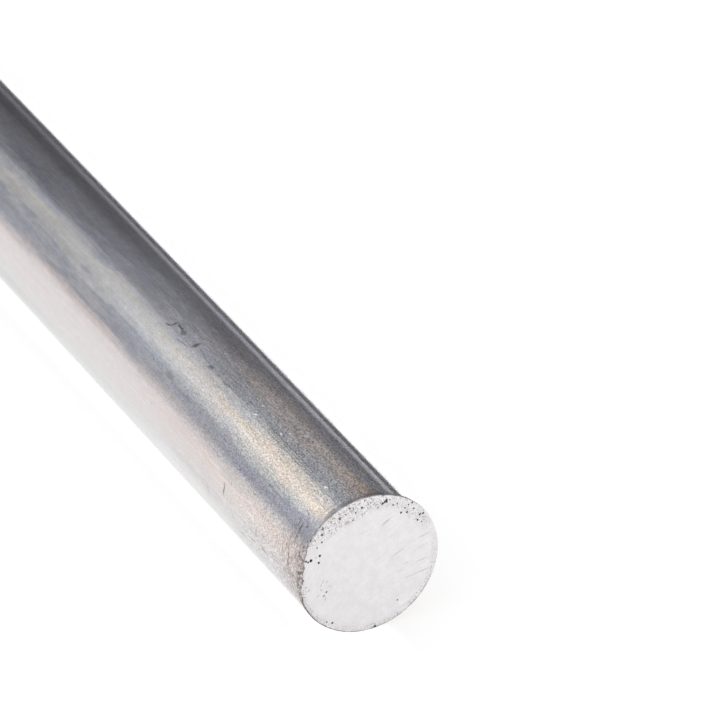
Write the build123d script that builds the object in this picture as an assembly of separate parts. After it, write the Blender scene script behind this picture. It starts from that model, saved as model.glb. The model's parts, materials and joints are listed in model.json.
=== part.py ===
from build123d import *
import os
from math import cos, radians, sin

# A solid round metal bar, sawn to length and lying on a level floor along X.
# The origin is on the floor, under the middle of the bar, and +Z is up.
# Lengths are in millimetres and angles in degrees.

# The stock
bar_diameter = 20.0
bar_length = 300.0

# The sharp rim that the saw leaves at each end is lightly broken.
rim_break = 0.15

# At the +X end the blade leaned as it entered and then ran true.
# It left a shallow crescent facet, between the rim and a chord of the end face.
entry_facet_width = 2.8
entry_facet_lean = 2.0

# The saw lines and the facet's chord lean from level, as seen on the end face.
saw_line_angle = 21.0

bar_radius = bar_diameter / 2
half_length = bar_length / 2


def round_stock():
    """The bar on its own axis, turned from its half section with both rims broken."""
    half_section = Polyline(
        (-half_length, 0),
        (-half_length, bar_radius - rim_break),
        (-half_length + rim_break, bar_radius),
        (half_length - rim_break, bar_radius),
        (half_length, bar_radius - rim_break),
        (half_length, 0),
        close=True,
    )
    return revolve(make_face(half_section), Axis.X)


def entry_facet_plane():
    """The plane of the crescent facet: hinged on its chord, and leaning back towards the rim."""
    chord_offset = bar_radius - entry_facet_width
    towards_rim = Vector(0, -sin(radians(saw_line_angle)), cos(radians(saw_line_angle)))
    on_chord = Vector(half_length, 0, 0) + towards_rim * chord_offset
    along_bar = Vector(1, 0, 0)
    facing = along_bar * cos(radians(entry_facet_lean)) + towards_rim * sin(radians(entry_facet_lean))
    return Plane(origin=on_chord, z_dir=facing)


def sawn_bar():
    """The stock with its entry facet, laid on the floor."""
    bar = split(round_stock(), bisect_by=entry_facet_plane(), keep=Keep.BOTTOM)
    return Pos(0, 0, bar_radius) * bar


os.makedirs("parts", exist_ok=True)
export_step(sawn_bar(), "parts/round_bar.step")
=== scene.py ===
import json
from math import atan2, cos, degrees, hypot, pi, radians, sin, tan

import bmesh
import bpy
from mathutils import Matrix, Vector, kdtree, noise


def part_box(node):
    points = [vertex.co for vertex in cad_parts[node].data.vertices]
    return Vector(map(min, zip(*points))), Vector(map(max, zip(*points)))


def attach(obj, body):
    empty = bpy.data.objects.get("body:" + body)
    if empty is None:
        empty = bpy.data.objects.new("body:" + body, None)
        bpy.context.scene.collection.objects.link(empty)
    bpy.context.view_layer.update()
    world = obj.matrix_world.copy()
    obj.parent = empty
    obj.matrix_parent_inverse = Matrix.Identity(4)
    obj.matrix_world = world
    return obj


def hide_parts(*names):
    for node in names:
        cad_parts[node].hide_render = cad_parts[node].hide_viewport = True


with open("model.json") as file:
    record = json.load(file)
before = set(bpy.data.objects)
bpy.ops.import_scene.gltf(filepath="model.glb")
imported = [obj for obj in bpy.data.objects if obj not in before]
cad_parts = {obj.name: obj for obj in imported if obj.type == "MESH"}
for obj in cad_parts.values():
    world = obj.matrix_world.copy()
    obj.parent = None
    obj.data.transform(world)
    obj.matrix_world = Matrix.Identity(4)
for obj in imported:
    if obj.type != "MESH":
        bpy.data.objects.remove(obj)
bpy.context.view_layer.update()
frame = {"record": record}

# Places and sizes are in metres, and mm turns millimetres into metres.
# The bar lies along X on the floor, and its sawn end faces +X.
# Places that lie within a hair of each other count as the same.
mm = 0.001
hair = 0.001 * mm

# The bar
mounts = {mount["name"]: mount for mount in frame["record"]["mounts"]}
bar_low, bar_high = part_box("round_bar")
bar_length = bar_high.x - bar_low.x
bar_radius = mounts["bar_surface"]["dims"]["r_mm"] * mm
end_x = bar_length / 2
rim_break = 0.15 * mm
axis_place = Vector((0, 0, bar_radius))

# The saw's travel across the end, and the shallow crescent that it left where it came in
saw_line_angle = radians(21)
across_saw = Vector((0, -sin(saw_line_angle), cos(saw_line_angle)))
facet_width = 2.8 * mm
facet_lean = radians(2)
facet_depth = facet_width * tan(facet_lean)
facet_chord = bar_radius - facet_width
facet_hinge = 0.3 * mm
grit_depth = 0.03 * mm

# Pits on the sawn end: how far from the axis towards +Y and +Z, and how wide, all in millimetres
pits = [
    (-2.6, 8.9, 0.24), (-0.9, 8.6, 0.32), (-1.8, 8.1, 0.18), (-4.05, 7.8, 0.36), (-3.2, 8.2, 0.18),
    (-6.45, 6.95, 0.38), (-4.75, 7.25, 0.16), (-5.5, 6.4, 0.16), (-6.6, 6.1, 0.32), (-6.6, 5.0, 0.24),
    (-6.9, 3.05, 0.36), (-7.05, 2.05, 0.32), (-8.15, 2.65, 0.44), (-8.55, 2.52, 0.26), (-8.85, 2.72, 0.28),
    (2.0, 8.45, 0.34), (2.2, 8.50, 0.24), (2.33, 8.66, 0.26), (2.52, 8.72, 0.44), (2.60, 8.92, 0.22),
    (2.62, 8.52, 0.18), (4.65, 6.4, 0.30), (5.5, 6.25, 0.26), (5.2, 6.95, 0.20), (6.25, 7.5, 0.28),
    (7.35, 5.45, 0.30), (7.8, 5.5, 0.28), (7.0, 4.7, 0.26), (-6.35, -3.1, 0.14), (-5.95, -7.15, 0.18),
    (-5.15, -7.5, 0.30), (4.15, -6.6, 0.20), (0.35, 9.0, 0.16), (1.35, 8.0, 0.18), (3.5, 7.85, 0.22),
    (0.95, -9.7, 0.36), (3.05, 8.75, 0.18), (4.1, 7.95, 0.20), (5.7, 7.35, 0.18), (6.45, 6.55, 0.20),
    (7.6, 4.3, 0.16), (-2.2, 7.1, 0.18), (-7.3, 4.35, 0.20), (-7.45, 2.9, 0.14), (-6.0, -2.6, 0.16),
]
pit_depth = 0.14 * mm

# The torn band along the left of the sawn rim. Its middle is in degrees from the top towards +Y.
# It has its full width up to the first of the two angles from there, and none past the second.
torn_middle = -82
torn_spread = (4, 32)
torn_width = 0.75 * mm
torn_depth = 0.3 * mm
torn_reach = 1.2 * mm
chip_depth = 0.2 * mm

# Mesh fineness: points round the bar, rings on its side in millimetres back from each end,
# the rings between them, and how far from the sawn end and from a pit the mesh is finer still
points_round_bar = 256
points_round_sawn_end = 2 * points_round_bar
sawn_end_rings = (0.4, 0.7, 1.0, 1.3, 1.7, 2.2, 3, 4, 6, 9)
far_end_rings = (0.4, 1, 3, 6)
ring_step = 12 * mm
ring_steps_each_way = 11
finer_side = 1.7 * mm
finer_round_pit = 0.3 * mm
smooth_up_to = radians(30)


# Picking, as by hand, but by place

def only(obj):
    """Leaves this object alone selected."""
    bpy.ops.object.select_all(action="DESELECT")
    obj.select_set(True)
    bpy.context.view_layer.objects.active = obj


def edit(obj):
    """Opens this object alone for editing."""
    only(obj)
    bpy.ops.object.mode_set(mode="EDIT")


def done():
    """Ends the editing."""
    bpy.ops.object.mode_set(mode="OBJECT")


def pick(obj, kind, test):
    """In edit mode, selects the edges or faces whose middle passes the test."""
    mesh = bmesh.from_edit_mesh(obj.data)
    bpy.ops.mesh.select_mode(type={"edges": "EDGE", "faces": "FACE"}[kind])
    bpy.ops.mesh.select_all(action="DESELECT")
    for item in getattr(mesh, kind):
        if kind == "edges":
            middle = (item.verts[0].co + item.verts[1].co) / 2
        else:
            middle = item.calc_center_median()
        if test(middle, item):
            item.select_set(True)
    mesh.select_flush_mode()
    bmesh.update_edit_mesh(obj.data)


def ease(value, low, high):
    """0 below low, 1 above high, and a smooth rise between them."""
    share = min(max((value - low) / (high - low), 0), 1)
    return share * share * (3 - 2 * share)


# The bar's mesh

def turned_blank():
    """A plain cylinder along X, with both rims broken and rings where its side needs them."""
    bpy.ops.object.select_all(action="DESELECT")
    bpy.ops.mesh.primitive_cylinder_add(
        vertices=points_round_bar,
        radius=bar_radius,
        depth=bar_length,
        end_fill_type="NGON",
        location=axis_place,
        rotation=(0, pi / 2, 0),
    )
    bar = bpy.context.object
    bar.name = "bar"
    bpy.ops.object.transform_apply(location=True, rotation=True, scale=True)
    edit(bar)
    pick(bar, "edges", lambda middle, edge: abs(middle.x) > end_x - hair)
    bpy.ops.mesh.bevel(offset=rim_break, offset_type="OFFSET", segments=2, affect="EDGES")
    rings = [end_x - back * mm for back in sawn_end_rings]
    rings += [back * mm - end_x for back in far_end_rings]
    rings += [step * ring_step for step in range(-ring_steps_each_way, ring_steps_each_way + 1)]
    for ring_x in rings:
        bpy.ops.mesh.select_all(action="SELECT")
        bpy.ops.mesh.bisect(plane_co=(ring_x, 0, 0), plane_no=(1, 0, 0))
    pick(bar, "faces", lambda middle, face: end_x - finer_side < middle.x < end_x - hair)
    bpy.ops.mesh.subdivide(number_cuts=1)
    done()
    return bar


def grid_on_end(bar, side, points_round):
    """Gives an end face an even grid in place of its single face."""
    def on_end(middle):
        return middle.x * side > end_x - hair

    edit(bar)
    pick(bar, "faces", lambda middle, face: on_end(middle) and len(face.verts) == points_round)
    bpy.ops.mesh.delete(type="ONLY_FACE")
    pick(bar, "edges", lambda middle, edge: edge.is_boundary and on_end(middle))
    bpy.ops.mesh.fill_grid(span=points_round // 4)
    done()


def pit_place(pit):
    """Where a pit is on the sawn end."""
    return Vector((end_x, pit[0] * mm, bar_radius + pit[1] * mm))


def finer_sawn_end(bar):
    """Divides the sawn end once all over, and once more round its pits."""
    places = kdtree.KDTree(len(pits))
    for number, pit in enumerate(pits):
        places.insert(pit_place(pit), number)
    places.balance()

    def round_pit(middle):
        return middle.x > end_x - rim_break and places.find(middle)[2] < finer_round_pit

    edit(bar)
    pick(bar, "faces", lambda middle, face: middle.x > end_x - hair)
    bpy.ops.mesh.subdivide(number_cuts=1)
    pick(bar, "faces", lambda middle, face: round_pit(middle))
    bpy.ops.mesh.subdivide(number_cuts=1)
    done()


def from_axis(place):
    """How far a place is from the bar's axis, and its turn in degrees from the top towards +Y."""
    up = place.z - bar_radius
    return hypot(place.y, up), degrees(atan2(place.y, up))


def across_end(place):
    """How far a place on the sawn end is from the axis, across the saw's travel."""
    return (place - axis_place).dot(across_saw)


def facet_share(place):
    """How deep the crescent leans back here, with a soft hinge, as a share of its depth at the rim."""
    beyond = across_end(place) - facet_chord
    if beyond < -facet_hinge:
        return 0
    if beyond < facet_hinge:
        beyond = (beyond + facet_hinge) ** 2 / (4 * facet_hinge)
    return beyond / facet_width


def grit_share(place):
    """Torn grain where the saw came in, and less of it along the rim to its right: its share of the grit's
    depth, from 0 to 1.
    """
    on_facet = ease(across_end(place), facet_chord - 0.4 * mm, facet_chord + 0.3 * mm)
    out, turn = from_axis(place)
    on_belt = 0.6 * ease(out, 7.6 * mm, 8.6 * mm) * ease(turn, 0, 10) * (1 - ease(turn, 58, 74))
    coarse = noise.noise(place / (0.45 * mm))
    fine = noise.noise(place / (0.2 * mm))
    return max(on_facet, on_belt) * ease(0.6 * coarse + 0.6 * fine, -0.1, 0.75)


def pit_shares(bar):
    """How deep each vert near a pit sinks, by its number."""
    verts = kdtree.KDTree(len(bar.data.vertices))
    for vert in bar.data.vertices:
        verts.insert(vert.co, vert.index)
    verts.balance()
    shares = {}
    for pit in pits:
        half = pit[2] * mm / 2
        for place, number, away in verts.find_range(pit_place(pit), 1.6 * half):
            ragged = away * (1 + 0.25 * noise.noise(place / (0.12 * mm)))
            share = 1 - ease(ragged, 0.5 * half, 1.15 * half)
            shares[number] = max(share, shares.get(number, 0))
    return shares


def chip_share(place):
    """Chips in the sawn rim: deep and close on the left, small and rare elsewhere."""
    out, turn = from_axis(place)
    back = end_x - place.x
    reach = ease(out, bar_radius - 0.35 * mm, bar_radius - 0.1 * mm) * (1 - ease(back, 0.1 * mm, 0.6 * mm))
    if reach == 0:
        return 0
    on_left = ease(turn, -125, -95) * (1 - ease(turn, -55, -35))
    coarse = noise.noise(place / (0.9 * mm))
    fine = noise.noise(place / (0.35 * mm))
    return reach * ease(0.6 * coarse + 0.5 * fine, 0.35 - 0.45 * on_left, 0.9 - 0.2 * on_left)


def torn_band(place):
    """Where the left of the rim broke away as the saw ran out: how torn, and how deep it leans back there."""
    out, turn = from_axis(place)
    width = torn_width * (1 - ease(abs(turn - torn_middle), *torn_spread))
    if width < 0.05 * mm:
        return 0, 0
    coarse = noise.noise(place / (0.7 * mm))
    fine = noise.noise(place / (0.25 * mm))
    beyond = out + (0.45 * coarse + 0.2 * fine) * mm - (bar_radius - width)
    torn = ease(beyond, 0, 0.12 * mm) * max(1 - (end_x - place.x) / torn_reach, 0)
    return torn, torn * (0.3 + 0.7 * ease(beyond, 0, width))


def push_in(bar, name, depth, shares, direction):
    """Pushes verts in by their share of the depth, along X or along their own normals."""
    group = bar.vertex_groups.new(name=name)
    for number, share in shares.items():
        if share > 0:
            group.add([number], share, "REPLACE")
    push = bar.modifiers.new(name, "DISPLACE")
    push.vertex_group = name
    push.direction = direction
    push.mid_level = 0
    push.strength = -depth
    only(bar)
    bpy.ops.object.modifier_apply(modifier=name)
    bar.vertex_groups.clear()


def store(bar, name, shares):
    """Keeps a number on each vert, which a finish reads by this name."""
    stored = bar.data.attributes.new(name, "FLOAT", "POINT")
    for number, share in shares.items():
        stored.data[number].value = share


def tear_sawn_end(bar):
    """Leans the crescent back, sinks the grit, pits, torn band and chips, and marks them for the finish: the
    torn band, and the painted shade, with some dirt, that darkens the grit, chips and pits.
    """
    verts = bar.data.vertices
    face = [v for v in verts if v.co.x > end_x - rim_break * 1.1]
    near = [v for v in verts if v.co.x > end_x - torn_reach]
    facet = {v.index: facet_share(v.co) for v in face}
    grit = {v.index: grit_share(v.co) for v in face if v.co.x > end_x - hair}
    deep = pit_shares(bar)
    chips = {v.index: chip_share(v.co) for v in near}
    bands = {v.index: torn_band(v.co) for v in near}
    hollows = {}
    # How dark each hollow is painted: painted shade with some dirt, darkest in the pits.
    for shares, darkness in ((grit, 0.35), (chips, 0.6), (deep, 1.0)):
        for number, share in shares.items():
            hollows[number] = max(hollows.get(number, 0), share * darkness)
    store(bar, "torn", {number: band[0] for number, band in bands.items()})
    store(bar, "hollows", hollows)
    push_in(bar, "facet", facet_depth, facet, "X")
    push_in(bar, "grit", grit_depth, grit, "X")
    push_in(bar, "pits", pit_depth, deep, "X")
    push_in(bar, "torn_edge", torn_depth, {number: band[1] for number, band in bands.items()}, "X")
    push_in(bar, "chips", chip_depth, chips, "NORMAL")


def make_bar():
    """The whole bar as one mesh."""
    bar = turned_blank()
    grid_on_end(bar, 1, points_round_sawn_end)
    grid_on_end(bar, -1, points_round_bar)
    finer_sawn_end(bar)
    tear_sawn_end(bar)
    only(bar)
    bpy.ops.object.shade_smooth_by_angle(angle=smooth_up_to)
    return bar


# Words for wiring finishes

class Finish:
    """One material, and short words for wiring its nodes."""

    def __init__(self, name):
        self.material = bpy.data.materials.new(name)
        self.material.use_nodes = True
        self.tree = self.material.node_tree
        self.tree.nodes.clear()
        here = self.node("ShaderNodeTexCoord").outputs["Object"]
        # Places are measured from the point on the bar's axis at its mid length.
        self.place = self.mapped(here, location=(0, 0, -bar_radius))

    def node(self, kind, inputs=None, **settings):
        """A node with its settings, and its inputs linked or set."""
        made = self.tree.nodes.new(kind)
        for name, value in settings.items():
            setattr(made, name, value)
        for name, value in (inputs or {}).items():
            self.join(value, made.inputs[name])
        return made

    def join(self, value, socket):
        """Links an output to a socket, or sets a plain value on it."""
        if isinstance(value, bpy.types.NodeSocket):
            self.tree.links.new(value, socket)
        elif socket.type == "RGBA":
            socket.default_value = (*value, 1)
        else:
            socket.default_value = value

    def maths(self, operation, *values):
        return self.node("ShaderNodeMath", dict(enumerate(values)), operation=operation).outputs[0]

    def times(self, *values):
        total = values[0]
        for value in values[1:]:
            total = self.maths("MULTIPLY", total, value)
        return total

    def plus(self, *values):
        total = values[0]
        for value in values[1:]:
            total = self.maths("ADD", total, value)
        return total

    def most(self, *values):
        total = values[0]
        for value in values[1:]:
            total = self.maths("MAXIMUM", total, value)
        return total

    def less(self, value):
        """1 less the value."""
        return self.maths("SUBTRACT", 1.0, value)

    def fit(self, value, low, high, out_low=0.0, out_high=1.0, way="SMOOTHSTEP"):
        """Turns the range from low to high into another, with a smooth start and end."""
        made = self.node(
            "ShaderNodeMapRange",
            {"Value": value, "From Min": low, "From Max": high, "To Min": out_low, "To Max": out_high},
            interpolation_type=way,
        )
        return made.outputs[0]

    def scaled(self, value, low, high, out_low=0.0, out_high=1.0):
        """Turns the range from low to high into another, in a straight line."""
        return self.fit(value, low, high, out_low, out_high, "LINEAR")

    def from_one(self, share, value):
        """1 where the share is 0, and the value where it is 1."""
        return self.scaled(share, 0, 1, 1.0, value)

    def swing(self, pattern, *depths, reach=1.0):
        """A factor that swings round 1 with a noise, by the depths multiplied."""
        return self.plus(1.0, self.times(self.scaled(pattern, 0.3, 0.7, -reach, reach), *depths))

    def window(self, value, low, high, soft):
        """1 between low and high, easing to 0 over the soft width outside them."""
        return self.times(
            self.fit(value, low - soft, low),
            self.fit(value, high, high + soft, 1.0, 0.0),
        )

    def mapped(self, vector, scale=(1, 1, 1), location=(0, 0, 0), rotation=(0, 0, 0)):
        made = self.node(
            "ShaderNodeMapping",
            {"Vector": vector, "Location": location, "Rotation": rotation, "Scale": scale},
        )
        return made.outputs[0]

    def parts(self, vector):
        """The X, Y and Z of a vector."""
        return self.node("ShaderNodeSeparateXYZ", {0: vector}).outputs

    def on_flat(self, first, second):
        """A place on a flat, from its two measures."""
        return self.node("ShaderNodeCombineXYZ", {0: first, 1: second}).outputs[0]

    def vectors(self, operation, *values):
        return self.node("ShaderNodeVectorMath", dict(enumerate(values)), operation=operation).outputs

    def stored(self, name):
        """A number that the mesh keeps on each vert."""
        return self.node("ShaderNodeAttribute", attribute_name=name).outputs["Fac"]

    def noise(self, vector, size, detail=2.0, roughness=0.5, output="Fac"):
        """Cloudy noise, whose clouds are about this size in metres."""
        made = self.node(
            "ShaderNodeTexNoise",
            {"Vector": vector, "Scale": 1 / size, "Detail": detail, "Roughness": roughness},
        )
        return made.outputs[output]

    def drawn_noise(self, share, size, detail=2.0, roughness=0.5, output="Fac"):
        """Noise drawn out along the bar, by shrinking X to this share."""
        return self.noise(self.mapped(self.place, scale=(share, 1, 1)), size, detail, roughness, output)

    def threads(self, pattern, width):
        """Thin wandering lines through a noise, 1 at their middle."""
        away = self.maths("ABSOLUTE", self.maths("SUBTRACT", pattern, 0.5))
        return self.fit(away, 0, width, 1.0, 0.0)

    def sway(self, vector, size, reach):
        """The vector pushed about by noise, up to about the reach."""
        push = self.noise(vector, size, 2, 0.6, "Color")
        centred = self.vectors("SUBTRACT", push, (0.5, 0.5, 0.5))[0]
        return self.vectors("MULTIPLY_ADD", centred, (4 * reach, 4 * reach, 4 * reach), vector)[0]

    def oval(self, flat, at, half_sizes, lean, soft):
        """1 inside an oval on the flat, easing to 0 at its edge."""
        inside = self.node(
            "ShaderNodeMapping",
            {"Vector": flat, "Location": (*at, 0), "Rotation": (0, 0, lean), "Scale": (*half_sizes, 1)},
            vector_type="TEXTURE",
        )
        away = self.vectors("LENGTH", inside.outputs[0])["Value"]
        return self.fit(away, 1 - soft, 1, 1.0, 0.0)

    def marks(self, flat, rows, soft):
        """The strongest of the listed ovals at each point of the flat."""
        found = []
        for first, second, half_first, half_second, lean, strength in rows:
            at = (first * mm, second * mm)
            half_sizes = (half_first * mm, half_second * mm)
            oval = self.oval(flat, at, half_sizes, radians(lean), soft)
            found.append(self.times(oval, strength))
        return self.most(*found)

    def ramp(self, value, stops, way="LINEAR"):
        """Colours by value: each stop is its place from 0 to 1, and its colour."""
        made = self.node("ShaderNodeValToRGB", {0: value})
        elements = made.color_ramp.elements
        made.color_ramp.interpolation = way
        while len(elements) > 1:
            elements.remove(elements[-1])
        elements[0].position = stops[0][0]
        elements[0].color = (*stops[0][1], 1)
        for position, colour in stops[1:]:
            elements.new(position).color = (*colour, 1)
        return made.outputs[0]

    def blend(self, share, first, second, way="MIX"):
        """The first colour with a share of the second over it."""
        made = self.node("ShaderNodeMix", {0: share}, data_type="RGBA", blend_type=way)
        self.join(first, made.inputs[6])
        self.join(second, made.inputs[7])
        return made.outputs[2]

    def shade(self, colour, factor):
        """The colour times a number."""
        return self.node("ShaderNodeVectorMath", {0: colour, "Scale": factor}, operation="SCALE").outputs[0]

    def speckle(self, colour, tints, depth):
        """The colour times uneven tints, whose channels swing by the depth round 1."""
        low = self.less(self.times(depth, 0.5))
        swung = self.vectors("MULTIPLY_ADD", tints, depth, low)[0]
        return self.vectors("MULTIPLY", colour, swung)[0]

    def bump(self, height, distance, strength=1.0, normal=None):
        """Fine relief by height, over the relief so far."""
        inputs = {"Height": height, "Distance": distance, "Strength": strength}
        if normal is not None:
            inputs["Normal"] = normal
        return self.node("ShaderNodeBump", inputs).outputs[0]

    def show(self, shader):
        """Ends the material in this shader."""
        self.node("ShaderNodeOutputMaterial", {"Surface": shader})
        return self.material

    def metal(self, colour, normal, gloss, haze, haze_share):
        """Bare metal with a share of soft haze round its sharper gloss, both given as roughness."""
        sheens = []
        for roughness in (gloss, haze):
            sheen = self.node(
                "ShaderNodeBsdfPrincipled",
                {"Base Color": colour, "Metallic": 1.0, "Roughness": roughness, "Normal": normal},
            )
            sheens.append(sheen.outputs[0])
        both = self.node("ShaderNodeMixShader", {0: haze_share, 1: sheens[0], 2: sheens[1]})
        return self.show(both.outputs[0])


class RoundFinish(Finish):
    """A finish for something round the bar's axis, with its turn from the top towards +Y."""

    def __init__(self, name):
        super().__init__(name)
        self.x, self.y, self.z = self.parts(self.place)
        self.turn = self.maths("ARCTAN2", self.y, self.z)

    def by_turn(self, low, high, out_low=0.0, out_high=1.0):
        """Eases from one value to the other between two turns in degrees."""
        return self.fit(self.turn, radians(low), radians(high), out_low, out_high)

    def arc(self, low, high, soft):
        """1 between two turns in degrees, easing to 0 over the soft angle outside them."""
        return self.window(self.turn, radians(low), radians(high), radians(soft))


def by_degrees(stops):
    """Turns stops given in degrees round the bar, from -180 to 180, into a ramp's places from 0 to 1."""
    return [((angle + 180) / 360, colour) for angle, colour in stops]


# The side: thin films on it, by degrees from the top towards +Y, near its sawn end and all along it. Their
# brightness is partly painted reflection: a bright cream film over the highlight band, and dark blue films
# over the dark band above the floor's reflection.
clean = (0.645, 0.645, 0.655)
grey_film = (0.635, 0.632, 0.658)
cream_film_and_highlight = (0.780, 0.682, 0.570)
brown_film = (0.765, 0.660, 0.590)
end_films_and_painted_bands = [
    (-180, clean),
    (-150, cream_film_and_highlight),
    (-130, grey_film),
    (-112, (0.695, 0.692, 0.695)),
    (-100, (0.655, 0.645, 0.645)),
    (-92, (0.635, 0.615, 0.610)),
    (-80, (0.675, 0.630, 0.605)),
    (-72, (0.690, 0.605, 0.570)),
    (-64, (0.650, 0.614, 0.596)),
    (-60, (0.650, 0.630, 0.630)),
    # Painted reflection: the dark blue film here darkens the dark band above the floor's reflection.
    (-56, (0.545, 0.545, 0.605)),
    (-48, (0.545, 0.545, 0.605)),
    (-45, (0.690, 0.680, 0.665)),
    (-41, (0.735, 0.690, 0.630)),
    # Painted highlight: the cream film here brightens and warms the highlight band.
    (-36, cream_film_and_highlight),
    (-29, (0.765, 0.685, 0.590)),
    (-23, (0.680, 0.660, 0.635)),
    (-18, (0.642, 0.632, 0.646)),
    (-12, (0.672, 0.656, 0.652)),
    (-5, (0.720, 0.660, 0.625)),
    (-1, brown_film),
    (4, brown_film),
    (10, (0.648, 0.626, 0.640)),
    (24, (0.640, 0.620, 0.655)),
    (60, (0.648, 0.632, 0.658)),
    (85, brown_film),
    (110, grey_film),
    (140, cream_film_and_highlight),
    (180, clean),
]
long_films_and_painted_bands = [
    (-180, clean),
    (-126, clean),
    (-112, (0.692, 0.688, 0.690)),
    (-100, (0.650, 0.641, 0.638)),
    (-84, (0.672, 0.638, 0.632)),
    (-66, (0.678, 0.632, 0.622)),
    (-61, (0.690, 0.618, 0.592)),
    # Painted reflection: a darker blue film over the dark band above the floor's reflection.
    (-57, (0.605, 0.590, 0.595)),
    (-49, (0.572, 0.575, 0.602)),
    (-45, (0.612, 0.612, 0.620)),
    (-38, (0.655, 0.645, 0.625)),
    (-27, (0.660, 0.645, 0.615)),
    (-21, (0.636, 0.630, 0.650)),
    (-16, (0.622, 0.612, 0.660)),
    (-8, (0.605, 0.594, 0.648)),
    (0, (0.598, 0.587, 0.630)),
    (15, (0.620, 0.606, 0.652)),
    (60, (0.648, 0.632, 0.658)),
    (90, (0.665, 0.645, 0.620)),
    (120, (0.620, 0.630, 0.665)),
    (180, clean),
]

# Tints of the films' streaks, and of their slow drift near the sawn end, by how high the noise is
streak_tints = [(0.32, (0.87, 0.89, 0.94)), (0.50, (0.95, 0.95, 0.95)), (0.68, (1.0, 0.98, 0.95))]
drift_tints = [(0.36, (0.98, 0.995, 0.985)), (0.62, (1.0, 0.982, 0.985))]

# Colours that lie over the films: painted shade at the films' band edges, a painted shadow behind the burr,
# painted shade at the top rim's brink, and the arcs, brown tint, stain and grey patch near the rims
band_edge_shade = (0.40, 0.415, 0.49)
burr_shadow_colour = (0.17, 0.17, 0.19)
arc_colour = (0.26, 0.24, 0.25)
brown_tint = (0.98, 0.86, 0.78)
brink_shade_colour = (0.20, 0.18, 0.18)
stain_colour = (0.36, 0.29, 0.28)
greyed_colour = (0.53, 0.54, 0.57)

# The broken metal of the torn rim
broken_light = (0.58, 0.52, 0.51)
broken_dark = (0.21, 0.18, 0.17)
broken_size = 0.45 * mm

# Marks on the side: degrees round from the top, millimetres back from the sawn end,
# half sizes round and along the bar in millimetres, lean in degrees, and how strong.
# First the fine dark lines and dots
fine_marks = [
    (-22.8, 14, 0.07, 17, 0.0, 0.48),
    (-20.6, 15, 0.06, 13, 0.0, 0.36),
    (-18.7, 14, 0.08, 10, 0.0, 0.52),
    (-49, 12, 0.04, 9, 0.0, 0.30),
    (-14, 30, 0.04, 22, 0.0, 0.25),
    (-10, 18, 0.04, 14, 0.0, 0.20),
    (6, 20, 0.04, 18, 0.0, 0.25),
    (14, 40, 0.05, 40, 0.0, 0.20),
    (-47.8, 49, 0.16, 0.30, 0.0, 0.50),
    (-75, 45, 0.12, 0.22, 0.0, 0.30),
    (-71.5, 20.8, 0.13, 0.24, 0.0, 0.55),
    (-62.5, 15.0, 0.12, 0.24, 0.0, 0.55),
    (-62.2, 9.5, 0.13, 0.24, 0.0, 0.60),
    (-65, 11.8, 0.10, 0.22, 0.0, 0.35),
    (-65, 16.5, 0.09, 0.40, 0.0, 0.35),
    (-63.2, 26.0, 0.20, 0.50, 0.0, 0.30),
    (-68.5, 27.5, 0.12, 0.22, 0.0, 0.35),
    (-78.5, 29.0, 0.10, 0.20, 0.0, 0.30),
    (-60, 18.2, 0.12, 0.24, 0.0, 0.30),
    (-57.8, 20.2, 0.10, 0.22, 0.0, 0.30),
    (-61.5, 30.0, 0.10, 0.22, 0.0, 0.30),
    (-43.5, 17.5, 0.10, 0.22, 0.0, 0.35),
]
scuffs = [
    (-21.4, 52.4, 0.22, 0.9, 10, 0.60),
    (-17.8, 51.8, 0.75, 0.26, 0.0, 0.65),
    (-15.9, 50.4, 0.30, 1.7, -8, 0.65),
    (-17.4, 49.1, 0.65, 1.0, 0.0, 0.50),
    (-23.1, 47.2, 0.13, 2.0, 8, 0.50),
    (-16.9, 45.3, 0.95, 0.60, -5, 0.70),
    (-20.5, 39.5, 0.38, 1.1, 10, 0.55),
    (-20.8, 34.5, 0.22, 1.6, 6, 0.45),
    (-47.5, 44.0, 0.60, 1.6, 0.0, 0.25),
    (-50, 38.5, 0.25, 2.0, 4, 0.22),
    (-80, 22.3, 1.3, 0.28, 3, 0.55),
    (-84, 20.1, 0.8, 0.14, 0.0, 0.22),
    (-95, 27, 1.4, 0.20, 4, 0.25),
    (-96.5, 13.6, 0.22, 1.3, 5, 0.45),
    (-95.2, 10.3, 0.26, 1.1, -12, 0.45),
    (-99, 11.8, 0.22, 1.0, 10, 0.35),
    (-90, 7.5, 0.30, 0.8, -15, 0.30),
    (-102, 16.5, 0.30, 1.4, 0.0, 0.25),
    (-64, 3.9, 0.6, 0.16, -10, 0.50),
    (-73, 4.3, 0.9, 0.16, 5, 0.50),
    (-72, 1.5, 0.9, 0.20, 0.0, 0.50),
    (-82, 3.2, 1.0, 0.15, -8, 0.45),
    (-52, 3.9, 0.7, 0.15, 10, 0.50),
    (-95, 1.3, 1.8, 0.17, 42, 0.55),
    (-86, 12.5, 1.0, 0.25, -20, 0.25),
]

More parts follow.
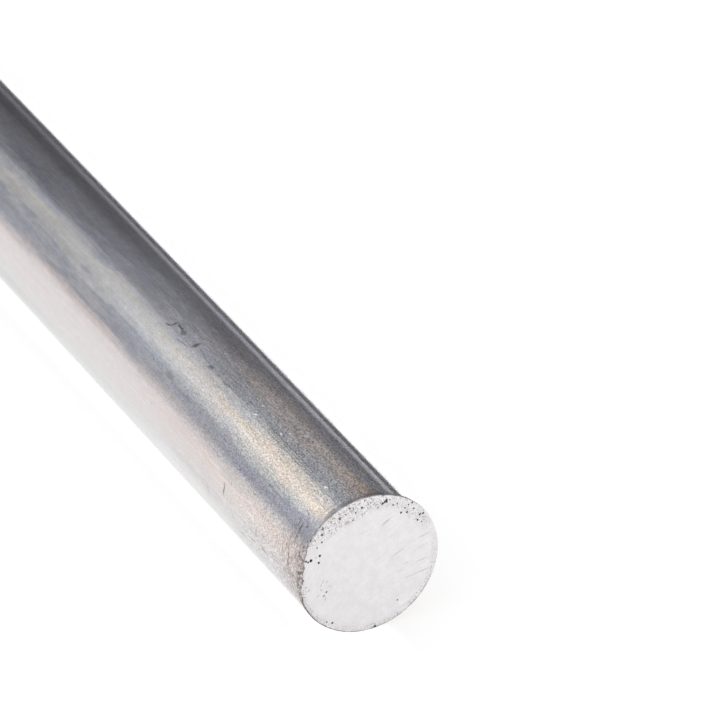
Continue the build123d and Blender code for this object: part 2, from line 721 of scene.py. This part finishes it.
# Scratches beside the torn rim
rim_scratches = [
    (-53.5, 3.1, 1.0, 0.16, 2, 0.62),
    (-61.5, 3.0, 1.1, 0.15, 3, 0.58),
    (-49.8, 2.2, 0.26, 0.28, 0.0, 0.50),
    (-56.0, 2.2, 0.8, 0.12, 8, 0.30),
    (-75.5, 3.4, 1.3, 0.12, 28, 0.48),
    (-70.0, 0.9, 0.8, 0.18, 43, 0.45),
    (-71.6, 4.4, 1.0, 0.11, 64, 0.38),
    (-79.6, 4.9, 1.0, 0.11, 22, 0.36),
    (-84.0, 3.0, 1.1, 0.12, 12, 0.40),
    (-89.0, 1.2, 1.0, 0.18, 80, 0.42),
    (-92.0, 3.6, 1.2, 0.11, 30, 0.30),
    (-66.5, 6.0, 1.0, 0.10, 40, 0.28),
    (-76.0, 6.8, 1.2, 0.10, 25, 0.24),
]
# Nicks painted as glints: they lighten the metal's colour like small highlights.
nick_glints = [
    (-19.5, 5.5, 0.20, 0.60, 20, 0.80),
    (-20.0, 26.0, 0.20, 0.55, 15, 0.90),
    (-27.0, 33.0, 0.12, 0.60, 8, 0.22),
    (-11.0, 26.8, 0.16, 0.32, 0.0, 0.70),
    (-16.2, 19.8, 0.20, 0.45, 0.0, 0.90),
    (-11.0, 19.0, 0.17, 0.34, 0.0, 0.80),
    (-38.2, 42.0, 0.18, 0.32, 0.0, 0.25),
    (-35.0, 41.2, 0.18, 0.32, 0.0, 0.25),
    (-33.0, 19.5, 0.18, 0.38, 0.0, 0.22),
    (-33.5, 22.5, 0.14, 0.30, 0.0, 0.20),
    (-4.2, 41.0, 0.18, 0.32, 0.0, 0.50),
    (-4.0, 36.5, 0.15, 0.28, 0.0, 0.45),
    (5, 58, 0.16, 0.30, 0.0, 0.40),
    (-29, 43, 0.14, 0.26, 0.0, 0.25),
    (-31, 52, 0.14, 0.26, 0.0, 0.25),
    (-38, 61, 1.3, 0.14, 8, 0.14),
    (-50.2, 2.5, 0.20, 0.30, 0.0, 0.25),
]

# Wide soft patches that are duller or cleaner than the metal round them
dull_patches = [
    (5, 44, 2.2, 20, 0.0, 0.26),
    (5, 80, 2.2, 24, 0.0, 0.16),
    (-12, 94, 1.6, 18, 0.0, 0.18),
    (-15, 60, 1.2, 9, 0.0, 0.16),
    (-37, 84, 1.6, 30, 0.0, 0.17),
    (-105, 98, 2.4, 34, 0.0, 0.13),
]
clean_patches = [
    (-15.5, 46, 1.0, 11, 0.0, 0.17),
    (-104, 36, 2.6, 24, 0.0, 0.11),
    (-36, 22, 0.9, 12, 0.0, 0.15),
    (0, 13, 1.2, 11, 0.0, 0.13),
]

# How soft the edges of marks are, as a share of their half size
mark_softness = 0.7
nick_softness = 0.6
patch_softness = 0.95


def on_side(rows):
    """The rows with their degrees round from the top turned into millimetres round the bar."""
    return [(radians(turn) * bar_radius / mm, *rest) for turn, *rest in rows]


def broken_metal(f):
    """The blotchy grey and brown of the torn rim."""
    blotch = f.noise(f.place, broken_size, 3, 0.65)
    return f.blend(f.fit(blotch, 0.45, 0.56), broken_light, broken_dark)


class SideFinish(RoundFinish):
    """A finish for the bar's side, with its measures and the patterns that several layers share."""

    def __init__(self, name):
        super().__init__(name)
        self.back = self.maths("SUBTRACT", end_x, self.x)
        self.flat = self.on_flat(self.times(self.turn, bar_radius), self.back)
        self.smudged = self.sway(self.flat, 0.7 * mm, 0.16 * mm)
        self.near = self.by_back(14, 60, 1.0, 0.0)
        self.dark_side = self.by_turn(-32, -16)
        self.above_floor = self.by_turn(-72, -54, 0.3, 1.0)
        self.fine_lines = self.drawn_noise(0.012, 0.30 * mm, 3, 0.6)
        self.grain = self.drawn_noise(0.6, 0.19 * mm, 2, 0.6)
        self.clouds = self.drawn_noise(0.3, 3.0 * mm, 3, 0.6)
        self.wander = self.drawn_noise(0.12, 1.3 * mm, 4, 0.65)
        wandered = self.scaled(self.wander, 0.3, 0.7, radians(-5), radians(5))
        self.wavy_turn = self.plus(self.turn, wandered)

    def by_back(self, start, stop, before, after):
        """Eases from one value to the other between two places, in millimetres back from the sawn end."""
        return self.fit(self.back, start * mm, stop * mm, before, after)


def films_and_painted_bands(f):
    """The films' colours with their painted reflection bands, in uneven streaks, and drifting a little near
    the sawn end.
    """
    whole_turn = f.scaled(f.wavy_turn, -pi, pi)
    end_share = f.times(f.near, f.fit(f.clouds, 0.3, 0.6, 0.65, 1.0))
    colour = f.blend(
        end_share,
        f.ramp(whole_turn, by_degrees(long_films_and_painted_bands), "EASE"),
        f.ramp(whole_turn, by_degrees(end_films_and_painted_bands), "EASE"),
    )
    streaky = f.ramp(f.drawn_noise(0.05, 0.9 * mm, 3, 0.6), streak_tints)
    colour = f.blend(f.by_turn(-82, -52, 0.20, 1.0), colour, streaky, "MULTIPLY")
    drifting = f.ramp(f.drawn_noise(0.45, 1.5 * mm, 2), drift_tints)
    return f.blend(f.near, colour, drifting, "MULTIPLY")


def grain_depths(f):
    """How deep the grain is as relief, and how far it lightens and darkens the metal."""
    along = f.by_back(15, 70, 1.0, 0.16)
    round_side = f.most(f.by_back(6, 26, 1.0, 0.2), f.by_turn(-78, -54))
    relief = f.times(along, round_side, 0.42)
    return relief, f.times(relief, f.from_one(f.dark_side, 1.7))


def grain_and_lines(f, grain_depth):
    """A factor that lightens and darkens the metal by its grain, drawn lines and blotches."""
    dashes = f.drawn_noise(0.10, 0.20 * mm, 2, 0.6)
    dash_share = f.times(f.fit(f.dark_side, 0, 1, 0.4, 1.0), f.by_back(10, 45, 0.2, 0.45))
    grains = f.node("ShaderNodeMix", {0: dash_share, 2: f.grain, 3: dashes}).outputs[0]
    grainy = f.swing(grains, grain_depth, reach=1.1)
    line_depth = f.times(f.fit(f.times(f.dark_side, f.near), 0, 1, 0.05, 0.11), f.above_floor)
    lined = f.swing(f.fine_lines, line_depth)
    blotchy = f.swing(f.drawn_noise(0.5, 0.75 * mm, 3), f.fit(f.near, 0, 1, 0.075, 0.04), f.above_floor)
    patchy = f.scaled(f.times(f.scaled(f.clouds, 0.35, 0.65), f.near), 0, 1, 1.03, 0.93)
    return f.times(grainy, lined, blotchy, patchy)


def shade_band_edges(f, colour):
    """Further along the bar, paints shade in patches along the edges of the reflection bands, where one film
    meets the next.
    """
    wavy_degrees = f.times(f.wavy_turn, 180 / pi)
    edges = f.most(
        f.window(wavy_degrees, -23, -13, 5),
        f.window(wavy_degrees, -57, -50, 4),
        f.window(wavy_degrees, -46, -42, 3),
    )
    patches = f.fit(f.drawn_noise(0.14, 1.8 * mm, 4, 0.65), 0.46, 0.62)
    # Painted shade over the bands' edges.
    return f.blend(f.times(edges, patches, f.by_back(22, 55, 0.0, 0.65)), colour, band_edge_shade)


def side_marks(f):
    """How the marks darken and lighten the metal, with the nicks painted as glints, and the light ones by
    themselves, which catch the light.
    """
    dark = f.most(
        f.marks(f.flat, on_side(fine_marks), mark_softness),
        f.marks(f.smudged, on_side(scuffs), mark_softness),
        f.marks(f.flat, on_side(dull_patches), patch_softness),
    )
    light = f.most(
        f.marks(f.flat, on_side(nick_glints), nick_softness),
        f.marks(f.flat, on_side(clean_patches), patch_softness),
    )
    hairlines = f.threads(f.drawn_noise(0.03, 0.8 * mm, 2), 0.02)
    hairlines = f.times(hairlines, f.by_back(15, 70, 0.14, 0.04))
    return f.plus(f.less(dark), light, hairlines), light


def wear_and_shade_top_rim(f, colour):
    """The painted shadow behind the burr, the dark arcs, the brown stain and the painted shade at the brink
    along the top of the sawn rim.
    """
    round_rim = f.mapped(f.place, scale=(1, 0.12, 0.12))
    # Painted shadow: a dark band behind the burr, where a groove behind the rolled rim would lie in shade.
    burr_shadow = f.times(
        f.by_back(0.35, 1.25, 1.0, 0.0),
        f.arc(-34, 6, 14),
        f.fit(f.clouds, 0.3, 0.6, 0.5, 1.0),
    )
    colour = f.blend(f.times(burr_shadow, 0.62), colour, burr_shadow_colour)
    arced = f.times(
        f.threads(f.noise(round_rim, 0.8 * mm, 2), 0.05),
        f.arc(-56, 26, 12),
        f.by_back(1.2, 3.5, 0.55, 0.0),
    )
    colour = f.blend(arced, colour, arc_colour)
    browned = f.times(f.by_back(2, 12, 0.6, 0.0), f.arc(-9, 3, 5))
    colour = f.blend(browned, colour, brown_tint, "MULTIPLY")
    # Painted shade: a dark line at the brink of the rim, fading into the side like a soft shadow.
    brink = f.times(
        f.by_back(0.10, 0.55, 1.0, 0.0),
        f.arc(-62, -30, 6),
        f.fit(f.clouds, 0.3, 0.6, 0.4, 0.8),
    )
    return f.blend(brink, colour, brink_shade_colour)


def wear_left_rim(f, colour):
    """The stained, broken and scratched metal beside the torn band of the sawn rim."""
    round_rim = f.mapped(f.place, scale=(1, 0.35, 0.35))
    blots = f.fit(f.noise(round_rim, 0.32 * mm, 3, 0.65), 0.50, 0.60)
    arcs = f.threads(f.noise(round_rim, 0.7 * mm, 2), 0.06)
    stained = f.most(
        f.times(blots, f.by_back(2.0, 6.5, 0.9, 0.0)),
        f.times(arcs, f.by_back(2.0, 8, 0.95, 0.0)),
        f.by_back(1.5, 7, 0.14, 0.0),
    )
    colour = f.blend(f.times(f.arc(-108, -62, 12), stained), colour, stain_colour)
    ragged = f.noise(round_rim, 0.6 * mm, 3, 0.6)
    ragged_back = f.plus(f.back, f.scaled(ragged, 0.3, 0.7, -0.8 * mm, 0.8 * mm))
    broken = f.times(f.fit(ragged_back, 0.2 * mm, 1.3 * mm, 0.85, 0.0), f.arc(-122, -60, 8))
    colour = f.blend(broken, colour, broken_metal(f))
    greyed = f.times(f.fit(ragged_back, 1.2 * mm, 3.4 * mm, 0.4, 0.0), f.arc(-58, -40, 5))
    colour = f.blend(greyed, colour, greyed_colour)
    return f.shade(colour, f.less(f.marks(f.smudged, on_side(rim_scratches), mark_softness)))


def side_relief(f, grain_relief, light_marks):
    """The side's waves, drawn lines, grain and nicks, calmer along the side away from the camera."""
    away = f.arc(14, 62, 7)
    calm = f.from_one(away, 0.35)
    still = f.from_one(away, 0.10)
    broad_lines = f.drawn_noise(0.012, 1.3 * mm, 2, 0.5)
    waves = f.drawn_noise(0.22, 2.2 * mm, 2)
    normal = f.bump(waves, 0.06 * mm, f.times(still, f.by_back(15, 55, 0.2, 1.0)))
    normal = f.bump(broad_lines, 0.012 * mm, f.times(calm, 0.8), normal)
    normal = f.bump(f.wander, 0.012 * mm, f.times(still, f.by_back(10, 40, 0.4, 0.8)), normal)
    normal = f.bump(f.fine_lines, 0.005 * mm, f.times(calm, 0.8), normal)
    normal = f.bump(f.grain, 0.008 * mm, grain_relief, normal)
    return f.bump(light_marks, 0.05 * mm, 0.6, normal)


def mill_finish():
    """Drawn aluminium under thin streaky films, with painted reflection bands and painted shade at its sawn
    rim, grainy and scuffed near its sawn end.
    """
    f = SideFinish("mill_finish")
    grain_relief, grain_depth = grain_depths(f)
    marked, light_marks = side_marks(f)
    grain_tints = f.drawn_noise(0.6, 0.30 * mm, 2, 0.6, "Color")
    colour = f.speckle(films_and_painted_bands(f), grain_tints, f.times(grain_depth, 0.35))
    colour = shade_band_edges(f, colour)
    # Hollows darkened as painted shade, with some dirt.
    shaded_hollows = f.from_one(f.stored("hollows"), 0.2)
    colour = f.shade(colour, f.times(grain_and_lines(f, grain_depth), marked, shaded_hollows))
    colour = wear_and_shade_top_rim(f, colour)
    colour = wear_left_rim(f, colour)
    normal = side_relief(f, grain_relief, light_marks)
    edge_on = f.node("ShaderNodeLayerWeight", {"Blend": 0.5}).outputs["Facing"]
    gloss = f.fit(edge_on, 0.50, 0.70, 0.17, 0.11)
    haze = f.fit(edge_on, 0.50, 0.70, 0.38, 0.29)
    return f.metal(colour, normal, gloss, haze, 0.35)


# The sawn end: its two pale metals, its stain, the dark of its torn brink, and the painted shade of its rim
# line
sawn_light = (0.712, 0.695, 0.702)
sawn_dull = (0.674, 0.659, 0.669)
sawn_stain = (0.56, 0.49, 0.48)
torn_brink = (0.14, 0.12, 0.11)
rim_shade_colour = (0.13, 0.10, 0.09)

# Marks that stand out on the sawn end: towards +Y and +Z, half length and half width in millimetres,
# lean in degrees from level, and how dark.
saw_scratches = [
    (4.1, 0.5, 1.6, 0.10, 25, 0.40),
    (3.3, -0.2, 0.8, 0.09, 25, 0.20),
    (8.1, 2.2, 1.4, 0.10, 16, 0.36),
    (7.3, 2.1, 0.8, 0.08, 22, 0.18),
    (7.7, -3.1, 1.6, 0.10, 9, 0.36),
    (6.0, -3.4, 1.4, 0.09, 12, 0.26),
    (2.5, 5.65, 1.3, 0.11, 29, 0.42),
    (2.4, 5.40, 0.9, 0.09, 32, 0.28),
    (-0.5, 4.9, 1.4, 0.09, 13, 0.20),
    (5.3, -1.3, 0.9, 0.09, 9, 0.26),
    (4.6, -2.25, 0.5, 0.09, 27, 0.26),
    (7.8, -1.4, 1.7, 0.09, 10, 0.22),
    (7.5, 0.6, 1.3, 0.08, 22, 0.16),
    (3.0, 3.2, 1.6, 0.08, 25, 0.14),
    (-3.0, -1.5, 2.5, 0.08, 25, 0.10),
    (0.5, -5.2, 1.6, 0.08, 25, 0.12),
    (-3.0, 7.05, 1.0, 0.18, -15, 0.35),
    (-6.0, -2.6, 0.30, 0.22, 20, 0.55),
    (-6.35, -3.1, 0.28, 0.20, 60, 0.48),
    (-6.5, -0.95, 0.45, 0.13, 70, 0.32),
    (-5.9, -1.1, 0.40, 0.13, 50, 0.28),
    (-6.75, -1.4, 0.40, 0.13, 80, 0.35),
    (-5.5, -1.85, 0.45, 0.13, -20, 0.30),
    (-6.75, -2.1, 0.40, 0.13, -60, 0.35),
    (-6.15, -3.6, 0.40, 0.13, 80, 0.28),
    (-7.2, -2.9, 0.40, 0.13, 30, 0.25),
    (-8.9, -1.15, 0.35, 0.15, 10, 0.45),
    (-8.5, -1.7, 0.32, 0.15, 60, 0.40),
]
scratch_softness = 0.9

# The sawn end's finish reaches this far back from the end, round the broken rims.
sawn_reach = 0.14 * mm


class SawnFinish(RoundFinish):
    """A finish for the sawn end, with its measures and the patterns that several layers share."""

    def __init__(self, name):
        super().__init__(name)
        turned = self.mapped(self.place, rotation=(-saw_line_angle, 0, 0))
        across = self.parts(turned)[2]
        self.flat = self.on_flat(self.y, self.z)
        self.out = self.vectors("LENGTH", self.flat)["Value"]
        self.facet = self.fit(across, facet_chord - 0.5 * mm, facet_chord + 0.3 * mm)
        self.saw_lines = self.noise(self.mapped(turned, scale=(1, 0.05, 1)), 0.28 * mm, 3, 0.6)
        self.broad = self.noise(self.place, 1.5 * mm, 3, 0.6)
        self.mottle = self.noise(self.place, 0.33 * mm, 3, 0.65)

    def by_out(self, start, stop, after=1.0):
        """Eases from 0 to the value between two places, in millimetres out from the axis."""
        return self.fit(self.out, start * mm, stop * mm, 0.0, after)


def rough_cut(f):
    """Where the cut is rough: on the facet, and in belts inside the rim to its right and left."""
    right_belt = f.times(f.arc(0, 62, 12), f.by_out(7.4, 8.6, 0.7))
    off_top = f.fit(f.maths("ABSOLUTE", f.turn), radians(60), radians(100))
    side_belts = f.times(off_top, f.by_out(8.7, 9.6, 0.85))
    return f.most(f.facet, right_belt, side_belts)


def cut_shading(f, rough):
    """A factor that lightens and darkens the cut by its saw lines, its mottle and its torn specks."""
    lined = f.swing(f.saw_lines, f.fit(f.y, -2 * mm, 6 * mm, 0.25, 1.0), reach=0.035)
    soft_mottle = f.scaled(f.mottle, 0.3, 0.7, 0.965, 1.035)
    torn_light = f.fit(f.facet, 0, 1, 1.0, 1.07)
    specks = f.noise(f.place, 0.20 * mm, 2, 0.6)
    mottled = f.from_one(f.times(rough, f.fit(f.mottle, 0.50, 0.66)), 0.70)
    specked = f.from_one(f.times(rough, f.fit(specks, 0.58, 0.64)), 0.32)
    return f.times(lined, soft_mottle, torn_light, mottled, specked)


def tear_left_of_cut(f, colour):
    """The broken metal of the torn band, and its dark brink."""
    torn = f.stored("torn")
    colour = f.blend(f.times(torn, 0.92), colour, broken_metal(f))
    brink = f.times(
        f.fit(torn, 0.05, 0.35),
        f.fit(torn, 0.55, 0.95, 1.0, 0.0),
        f.fit(f.broad, 0.40, 0.55, 0.2, 0.8),
    )
    return f.blend(brink, colour, torn_brink)


def rim_shade_line(f):
    """The painted shade of a dark line inside the rim, standing in for the shadow its broken edge reflects:
    broken at the low right and left, and thin elsewhere.
    """
    broken = f.times(
        f.by_out(9.72, 9.90),
        f.most(f.by_turn(108, 138), f.by_turn(-112, -84, 1.0, 0.0)),
        f.fit(f.broad, 0.38, 0.55, 0.30, 0.85),
    )
    thin = f.times(f.by_out(9.84, 9.92, 0.45), f.fit(f.arc(34, 112, 14), 0, 1, 1.0, 0.1))
    return f.most(broken, thin)


def sawn_face():
    """Bright sawn aluminium with faint lines along the saw's travel, torn and dull where the saw came in."""
    f = SawnFinish("sawn_face")
    rough = rough_cut(f)
    colour = f.blend(f.fit(f.broad, 0.35, 0.65), sawn_light, sawn_dull)
    browned = f.times(rough, f.fit(f.noise(f.place, 0.8 * mm, 2), 0.52, 0.66, 0.0, 0.30))
    colour = f.blend(browned, colour, sawn_stain)
    colour = tear_left_of_cut(f, colour)
    scratched = f.less(f.marks(f.flat, saw_scratches, scratch_softness))
    # Hollows darkened as painted shade, with some dirt.
    shaded_hollows = f.scaled(f.stored("hollows"), 0, 0.9, 1.0, 0.03)
    colour = f.shade(colour, f.times(cut_shading(f, rough), scratched, shaded_hollows))
    colour = f.blend(rim_shade_line(f), colour, rim_shade_colour)
    normal = f.bump(f.saw_lines, 0.006 * mm, 0.5)
    normal = f.bump(f.mottle, 0.012 * mm, rough, normal)
    return f.metal(colour, normal, 0.30, 0.50, 0.5)


def give_finishes(bar):
    """The mill finish all over, and the sawn face on both ends."""
    bar.data.materials.append(mill_finish())
    bar.data.materials.append(sawn_face())
    edit(bar)
    pick(bar, "faces", lambda middle, face: abs(middle.x) > end_x - sawn_reach)
    bar.active_material_index = 1
    bpy.ops.object.material_slot_assign()
    done()


# The set: a white light table, and a tent over it that only the metal sees

camera_aim = Vector((0.137802, 0.004816, 0.032545))
camera_azimuth = radians(63.70)
camera_elevation = radians(30.10)
camera_distance = 0.942
camera_lens = 368.35
camera_sensor = 36

# The table, whose glow rises where the bar hides it from the camera: painted light that lifts the bar's
# contact shadow there
table_length = 1.1
table_front = -0.40
table_back = 0.29
table_colour = (0.39, 0.39, 0.39)
painted_light_rise = (-8.5 * mm, -6 * mm)

# The tent, whose near and far panels meet between these places along X
tent_radius = 0.6
tent_length = 2.6
tent_sides = 180
panels_meet = (-0.77, -0.60)

# The tent's panels, by degrees from straight up towards +Y: brightness over the near end and the far end
tent_panels = [
    (-98, 1.00, 1.00),
    (-90, 0.84, 0.98),
    (-84, 0.84, 0.70),
    (-78, 0.54, 0.48),
    (-72, 0.64, 0.43),
    (-66, 0.74, 0.42),
    (-60, 0.68, 0.31),
    (-56, 0.84, 0.30),
    (-50, 1.05, 0.34),
    (-44, 1.13, 0.31),
    (-36, 1.52, 0.22),
    (-28, 1.14, 0.34),
    (-18, 0.98, 0.39),
    (-12, 0.96, 0.31),
    (-7, 0.70, 0.23),
    (-2, 0.52, 0.14),
    (4, 0.53, 0.09),
    (12, 0.66, 0.075),
    (20, 0.44, 0.03),
    (32, 0.54, 0.055),
    (40, 0.42, 0.045),
    (48, 0.31, 0.02),
    (58, 0.28, 0.03),
    (64, 0.18, 0.04),
    (69, 0.12, 0.13),
    (72, 0.53, 0.23),
    (76, 0.92, 0.27),
    (79, 0.48, 0.10),
    (82, 0.00, 0.00),
    (98, 0.00, 0.00),
]
panel_tint = (0.97, 0.985, 1.03)
panel_strength = 1.25


def light_table():
    """A white table that keeps the bar's soft shadow, though its glow is raised under the bar as painted
    light that lifts the shadow there. It glows only for the camera and in the metal.
    """
    bpy.ops.object.select_all(action="DESELECT")
    bpy.ops.mesh.primitive_plane_add(size=1, location=(0, (table_back + table_front) / 2, 0))
    table = bpy.context.object
    table.name = "table"
    table.scale = (table_length, table_back - table_front, 1)
    bpy.ops.object.transform_apply(location=True, rotation=True, scale=True)
    f = Finish("white_table")
    side = f.parts(f.place)[1]
    # From just in front of the bar backwards the glow is raised: painted light over the bar's contact shadow.
    metal_glow = f.plus(f.fit(side, *painted_light_rise, 0.73, 0.89), f.fit(side, 15 * mm, 45 * mm, 0.0, 0.42))
    seen_behind = f.maths(
        "SUBTRACT",
        f.fit(side, 20 * mm, 40 * mm, 0.0, 0.10),
        f.fit(side, 0.0, 4 * mm, 0.0, 0.23),
    )
    seen_glow = f.plus(f.fit(side, *painted_light_rise, 0.715, 0.88), seen_behind)
    rays = f.node("ShaderNodeLightPath").outputs
    in_metal = f.most(rays["Is Glossy Ray"], rays["Is Transmission Ray"])
    glow = f.plus(f.times(in_metal, metal_glow), f.times(rays["Is Camera Ray"], seen_glow))
    lit = f.node("ShaderNodeBsdfDiffuse", {"Color": table_colour})
    light = f.node("ShaderNodeEmission", {"Strength": glow})
    both = f.node("ShaderNodeAddShader", {0: lit.outputs[0], 1: light.outputs[0]})
    table.data.materials.append(f.show(both.outputs[0]))


def panel_stops(column):
    """The tent's panels as a ramp's stops, with their brightness taken from this column."""
    stops = []
    for panel in tent_panels:
        stops.append((panel[0], [panel[column] * part / panel_strength for part in panel_tint]))
    return by_degrees(stops)


def light_tent():
    """A tube of soft panels round the bar's axis, open at both ends, which only the metal sees."""
    bpy.ops.object.select_all(action="DESELECT")
    bpy.ops.mesh.primitive_cylinder_add(
        vertices=tent_sides,
        radius=tent_radius,
        depth=tent_length,
        end_fill_type="NOTHING",
        location=axis_place,
        rotation=(0, pi / 2, 0),
    )
    tent = bpy.context.object
    tent.name = "tent"
    bpy.ops.object.transform_apply(location=True, rotation=True)
    f = RoundFinish("tent_panels")
    whole_turn = f.scaled(f.turn, -pi, pi)
    near_panels = f.ramp(whole_turn, panel_stops(1))
    far_panels = f.ramp(whole_turn, panel_stops(2))
    panels = f.blend(f.scaled(f.x, *panels_meet), far_panels, near_panels)
    glow = f.node("ShaderNodeEmission", {"Color": panels, "Strength": panel_strength})
    tent.data.materials.append(f.show(glow.outputs[0]))
    tent.visible_camera = False
    tent.visible_diffuse = False
    tent.visible_shadow = False


def white_sky():
    """Even white light from all round."""
    world = bpy.data.worlds.new("white_sky")
    bpy.context.scene.world = world
    world.use_nodes = True
    background = world.node_tree.nodes["Background"]
    background.inputs["Color"].default_value = (1, 1, 1, 1)
    background.inputs["Strength"].default_value = 1.0


def set_camera():
    """A long lens that looks down on the sawn end from its right."""
    towards_camera = Vector((
        sin(camera_azimuth) * cos(camera_elevation),
        -cos(camera_azimuth) * cos(camera_elevation),
        sin(camera_elevation),
    ))
    data = bpy.data.cameras.new("camera")
    data.sensor_width = camera_sensor
    data.lens = camera_lens
    camera = bpy.data.objects.new("camera", data)
    bpy.context.scene.collection.objects.link(camera)
    camera.location = camera_aim + towards_camera * camera_distance
    camera.rotation_mode = "QUATERNION"
    camera.rotation_quaternion = (-towards_camera).to_track_quat("-Z", "Y")
    bpy.context.scene.camera = camera


set_camera()
white_sky()
light_table()
light_tent()
bar = make_bar()
give_finishes(bar)
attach(bar, "root")
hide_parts("round_bar")

bpy.context.scene.view_settings.view_transform = "Standard"
